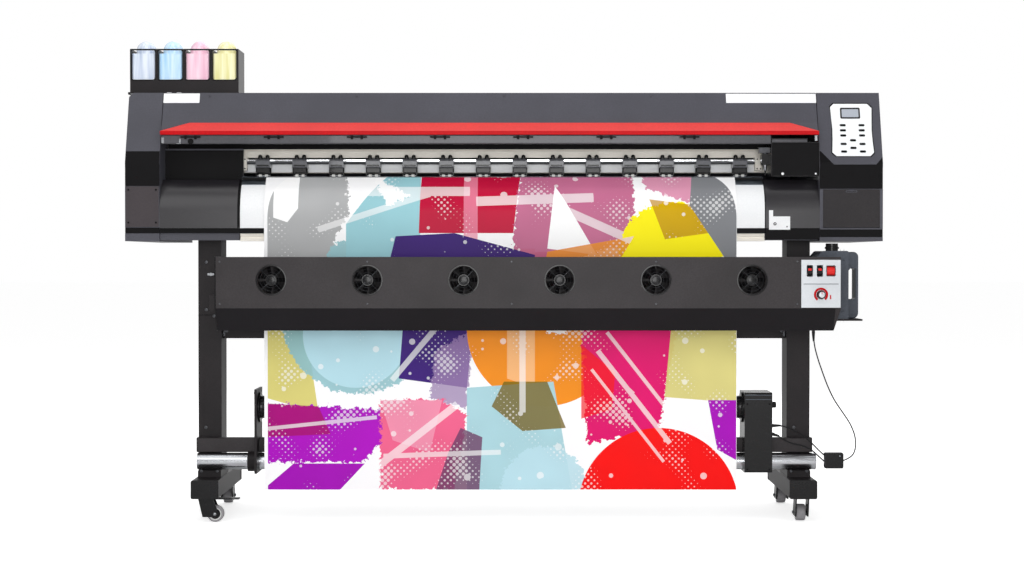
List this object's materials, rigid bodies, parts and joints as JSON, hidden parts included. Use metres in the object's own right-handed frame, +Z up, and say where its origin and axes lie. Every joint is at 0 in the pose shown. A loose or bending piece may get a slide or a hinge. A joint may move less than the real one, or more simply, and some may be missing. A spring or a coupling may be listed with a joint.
{
  "type": "wide format printer cutter",
  "caption": "Roll-fed wide-format printer cutter on a castered stand, with hinged cover, pinch rollers, carriage, front fan dryer, ink bottles and take-up.",
  "frame": {"origin": "on the floor under the middle of the machine's bounding box", "axes": "+X to the operator's right, -Y towards the operator, +Z up"},
  "size_m": [2.465, 0.8422, 1.579],
  "materials": {
    "charcoal_paint": "satin",
    "charcoal_shell": "fine texture",
    "cream_alloy": "anodised",
    "pale_panel": "satin film",
    "white_paint": "satin",
    "bed_alloy": "satin",
    "black_plastic": "matte",
    "black_paint": "fine texture",
    "silver_panel": "satin",
    "tube_alloy": "polished",
    "vinyl_sheet": "printed",
    "cable_rubber": "matte",
    "wheel_rubber": "matte",
    "steel": "brushed",
    "red_plastic": "gloss",
    "smoked_plastic": "gloss",
    "can_plastic": "matte",
    "bottle_plastic": "translucent",
    "rocker_plastic": "gloss",
    "caster_plastic": "matte"
  },
  "bodies": {
    "machine": {"body_shell": "charcoal_paint", "front_extrusion": "cream_alloy", "end_housing_left": "charcoal_shell", "end_housing_right": "charcoal_shell", "control_panel": "pale_panel", "inner_cover_left": "charcoal_paint", "inner_cover_right": "charcoal_paint", "apron": "white_paint", "platen": "bed_alloy", "rail_beam": "cream_alloy", "ink_rack": "black_plastic", "stand_left": "black_paint", "stand_right": "black_paint", "stand_frame": "black_paint", "dryer_case": "black_paint", "dryer_panel": "silver_panel", "takeup_rails": "tube_alloy", "takeup_drive": "black_plastic", "media": "vinyl_sheet", "dryer_cable": "cable_rubber", "takeup_lead_1": "cable_rubber", "takeup_lead_2": "cable_rubber", "adapter": "black_plastic"},
    "top_cover": {"top_cover": "charcoal_shell", "cover_trim": "red_plastic", "cover_window": "smoked_plastic"},
    "carriage": {"carriage": "black_plastic"},
    "cutter_holder": {"cutter_holder": "black_plastic"},
    "pinch_arms": {"pinch_arms": "black_plastic"},
    "pinch_wheels": {"pinch_wheels": "wheel_rubber"},
    "feed_roller": {"feed_roller": "steel"},
    "lift_lever": {"lift_lever": "white_paint"},
    "right_door": {"right_door": "charcoal_shell"},
    "dryer_knob": {"dryer_knob": "black_plastic"},
    "waste_bottle": {"waste_bottle": "can_plastic"},
    "takeup_slide": {"takeup_slide": "black_paint"},
    "takeup_hub_left": {"takeup_hub_left": "black_plastic"},
    "takeup_hub_right": {"takeup_hub_right": "black_plastic"},
    "supply_roll": {"supply_roll": "vinyl_sheet"},
    "ink_bottle_1": {"ink_bottle_1": "bottle_plastic"},
    "ink_bottle_2": {"ink_bottle_2": "bottle_plastic"},
    "ink_bottle_3": {"ink_bottle_3": "bottle_plastic"},
    "ink_bottle_4": {"ink_bottle_4": "bottle_plastic"},
    "fan_rotor_1": {"fan_rotor_1": "black_plastic"},
    "fan_rotor_2": {"fan_rotor_2": "black_plastic"},
    "fan_rotor_3": {"fan_rotor_3": "black_plastic"},
    "fan_rotor_4": {"fan_rotor_4": "black_plastic"},
    "fan_rotor_5": {"fan_rotor_5": "black_plastic"},
    "fan_rotor_6": {"fan_rotor_6": "black_plastic"},
    "rocker_1": {"rocker_1": "rocker_plastic"},
    "rocker_2": {"rocker_2": "rocker_plastic"},
    "rocker_3": {"rocker_3": "red_plastic"},
    "caster_fork_front_left": {"caster_fork_front_left": "steel"},
    "caster_wheel_front_left": {"caster_wheel_front_left": "caster_plastic"},
    "caster_fork_front_right": {"caster_fork_front_right": "steel"},
    "caster_wheel_front_right": {"caster_wheel_front_right": "caster_plastic"},
    "caster_fork_rear_left": {"caster_fork_rear_left": "steel"},
    "caster_wheel_rear_left": {"caster_wheel_rear_left": "caster_plastic"},
    "caster_fork_rear_right": {"caster_fork_rear_right": "steel"},
    "caster_wheel_rear_right": {"caster_wheel_rear_right": "caster_plastic"}
  },
  "joints": [
    {"name": "cover_open", "type": "hinge", "parent": "machine", "child": "top_cover", "pos_m": [0, -0.14, 1.3915], "axis": [-1, 0, 0], "range_deg": [0, 70]},
    {"name": "carriage_travel", "type": "slide", "parent": "machine", "child": "carriage", "axis": [-1, 0, 0], "range_m": [0, 1.62]},
    {"name": "cutter_plunge", "type": "slide", "parent": "carriage", "child": "cutter_holder", "axis": [0, 0, -1], "range_m": [0, 0.0035], "stiffness_N_per_m": 200},
    {"name": "pinch_lift", "type": "hinge", "parent": "machine", "child": "pinch_arms", "pos_m": [0, -0.122, 1.172], "axis": [-1, 0, 0], "range_deg": [0, 8]},
    {"name": "pinch_wheel_spin", "type": "hinge", "parent": "pinch_arms", "child": "pinch_wheels", "pos_m": [0, -0.15, 1.128], "axis": [1, 0, 0], "continuous": true},
    {"name": "feed_roller_spin", "type": "hinge", "parent": "machine", "child": "feed_roller", "pos_m": [0, -0.15, 1.1095], "axis": [1, 0, 0], "continuous": true},
    {"name": "lift_lever_turn", "type": "hinge", "parent": "machine", "child": "lift_lever", "pos_m": [0.875, -0.258, 0.968], "axis": [0, 1, 0], "range_deg": [0, 40]},
    {"name": "ink_bottle_1_lift", "type": "slide", "parent": "machine", "child": "ink_bottle_1", "axis": [0, 0, 1], "range_m": [0, 0.16]},
    {"name": "ink_bottle_2_lift", "type": "slide", "parent": "machine", "child": "ink_bottle_2", "axis": [0, 0, 1], "range_m": [0, 0.16]},
    {"name": "ink_bottle_3_lift", "type": "slide", "parent": "machine", "child": "ink_bottle_3", "axis": [0, 0, 1], "range_m": [0, 0.16]},
    {"name": "ink_bottle_4_lift", "type": "slide", "parent": "machine", "child": "ink_bottle_4", "axis": [0, 0, 1], "range_m": [0, 0.16]},
    {"name": "right_door_open", "type": "hinge", "parent": "machine", "child": "right_door", "pos_m": [1.1225, -0.2565, 0.958], "axis": [1, 0, 0], "range_deg": [0, 95]},
    {"name": "fan_1_spin", "type": "hinge", "parent": "machine", "child": "fan_rotor_1", "pos_m": [-0.733, -0.4, 0.788], "axis": [0, 1, 0], "continuous": true},
    {"name": "fan_2_spin", "type": "hinge", "parent": "machine", "child": "fan_rotor_2", "pos_m": [-0.4298, -0.4, 0.788], "axis": [0, 1, 0], "continuous": true},
    {"name": "fan_3_spin", "type": "hinge", "parent": "machine", "child": "fan_rotor_3", "pos_m": [-0.1266, -0.4, 0.788], "axis": [0, 1, 0], "continuous": true},
    {"name": "fan_4_spin", "type": "hinge", "parent": "machine", "child": "fan_rotor_4", "pos_m": [0.1766, -0.4, 0.788], "axis": [0, 1, 0], "continuous": true},
    {"name": "fan_5_spin", "type": "hinge", "parent": "machine", "child": "fan_rotor_5", "pos_m": [0.4798, -0.4, 0.788], "axis": [0, 1, 0], "continuous": true},
    {"name": "fan_6_spin", "type": "hinge", "parent": "machine", "child": "fan_rotor_6", "pos_m": [0.783, -0.4, 0.788], "axis": [0, 1, 0], "continuous": true},
    {"name": "rocker_1_tip", "type": "hinge", "parent": "machine", "child": "rocker_1", "pos_m": [0.9635, -0.402, 0.817], "axis": [1, 0, 0], "range_deg": [-14, 0]},
    {"name": "rocker_2_tip", "type": "hinge", "parent": "machine", "child": "rocker_2", "pos_m": [0.995, -0.402, 0.817], "axis": [1, 0, 0], "range_deg": [-14, 0]},
    {"name": "rocker_3_tip", "type": "hinge", "parent": "machine", "child": "rocker_3", "pos_m": [1.03, -0.402, 0.817], "axis": [1, 0, 0], "range_deg": [-14, 0]},
    {"name": "dryer_knob_turn", "type": "hinge", "parent": "machine", "child": "dryer_knob", "pos_m": [0.999, -0.41, 0.742], "axis": [0, 1, 0], "range_deg": [0, 270]},
    {"name": "waste_bottle_out", "type": "slide", "parent": "machine", "child": "waste_bottle", "axis": [1, 0, 0], "range_m": [0, 0.2]},
    {"name": "takeup_slide_travel", "type": "slide", "parent": "machine", "child": "takeup_slide", "axis": [1, 0, 0], "range_m": [-0.08, 0.6]},
    {"name": "takeup_hub_left_spin", "type": "hinge", "parent": "takeup_slide", "child": "takeup_hub_left", "pos_m": [-0.795, -0.18, 0.37], "axis": [1, 0, 0], "continuous": true},
    {"name": "takeup_hub_right_spin", "type": "hinge", "parent": "machine", "child": "takeup_hub_right", "pos_m": [0.77, -0.18, 0.37], "axis": [1, 0, 0], "continuous": true},
    {"name": "supply_roll_spin", "type": "hinge", "parent": "machine", "child": "supply_roll", "pos_m": [0, 0.33, 0.76], "axis": [1, 0, 0], "continuous": true},
    {"name": "caster_front_left_swivel", "type": "hinge", "parent": "machine", "child": "caster_fork_front_left", "pos_m": [-0.968, -0.225, 0.08], "axis": [0, 0, 1], "continuous": true},
    {"name": "caster_front_left_roll", "type": "hinge", "parent": "caster_fork_front_left", "child": "caster_wheel_front_left", "pos_m": [-0.938, -0.225, 0.027], "axis": [0, 1, 0], "continuous": true},
    {"name": "caster_front_right_swivel", "type": "hinge", "parent": "machine", "child": "caster_fork_front_right", "pos_m": [0.968, -0.225, 0.08], "axis": [0, 0, 1], "continuous": true},
    {"name": "caster_front_right_roll", "type": "hinge", "parent": "caster_fork_front_right", "child": "caster_wheel_front_right", "pos_m": [0.968, -0.195, 0.027], "axis": [1, 0, 0], "continuous": true},
    {"name": "caster_rear_left_swivel", "type": "hinge", "parent": "machine", "child": "caster_fork_rear_left", "pos_m": [-0.968, 0.215, 0.08], "axis": [0, 0, 1], "continuous": true},
    {"name": "caster_rear_left_roll", "type": "hinge", "parent": "caster_fork_rear_left", "child": "caster_wheel_rear_left", "pos_m": [-0.968, 0.245, 0.027], "axis": [1, 0, 0], "continuous": true},
    {"name": "caster_rear_right_swivel", "type": "hinge", "parent": "machine", "child": "caster_fork_rear_right", "pos_m": [0.968, 0.215, 0.08], "axis": [0, 0, 1], "continuous": true},
    {"name": "caster_rear_right_roll", "type": "hinge", "parent": "caster_fork_rear_right", "child": "caster_wheel_rear_right", "pos_m": [0.968, 0.245, 0.027], "axis": [1, 0, 0], "continuous": true}
  ],
  "couplings": [
    {"joint": "pinch_lift", "follows": "lift_lever_turn", "ratio": 0.2},
    {"joint": "pinch_wheel_spin", "follows": "feed_roller_spin", "ratio": -2.4},
    {"joint": "fan_2_spin", "follows": "fan_1_spin", "ratio": 1},
    {"joint": "fan_3_spin", "follows": "fan_1_spin", "ratio": 1},
    {"joint": "fan_4_spin", "follows": "fan_1_spin", "ratio": 1},
    {"joint": "fan_5_spin", "follows": "fan_1_spin", "ratio": 1},
    {"joint": "fan_6_spin", "follows": "fan_1_spin", "ratio": 1}
  ]
}
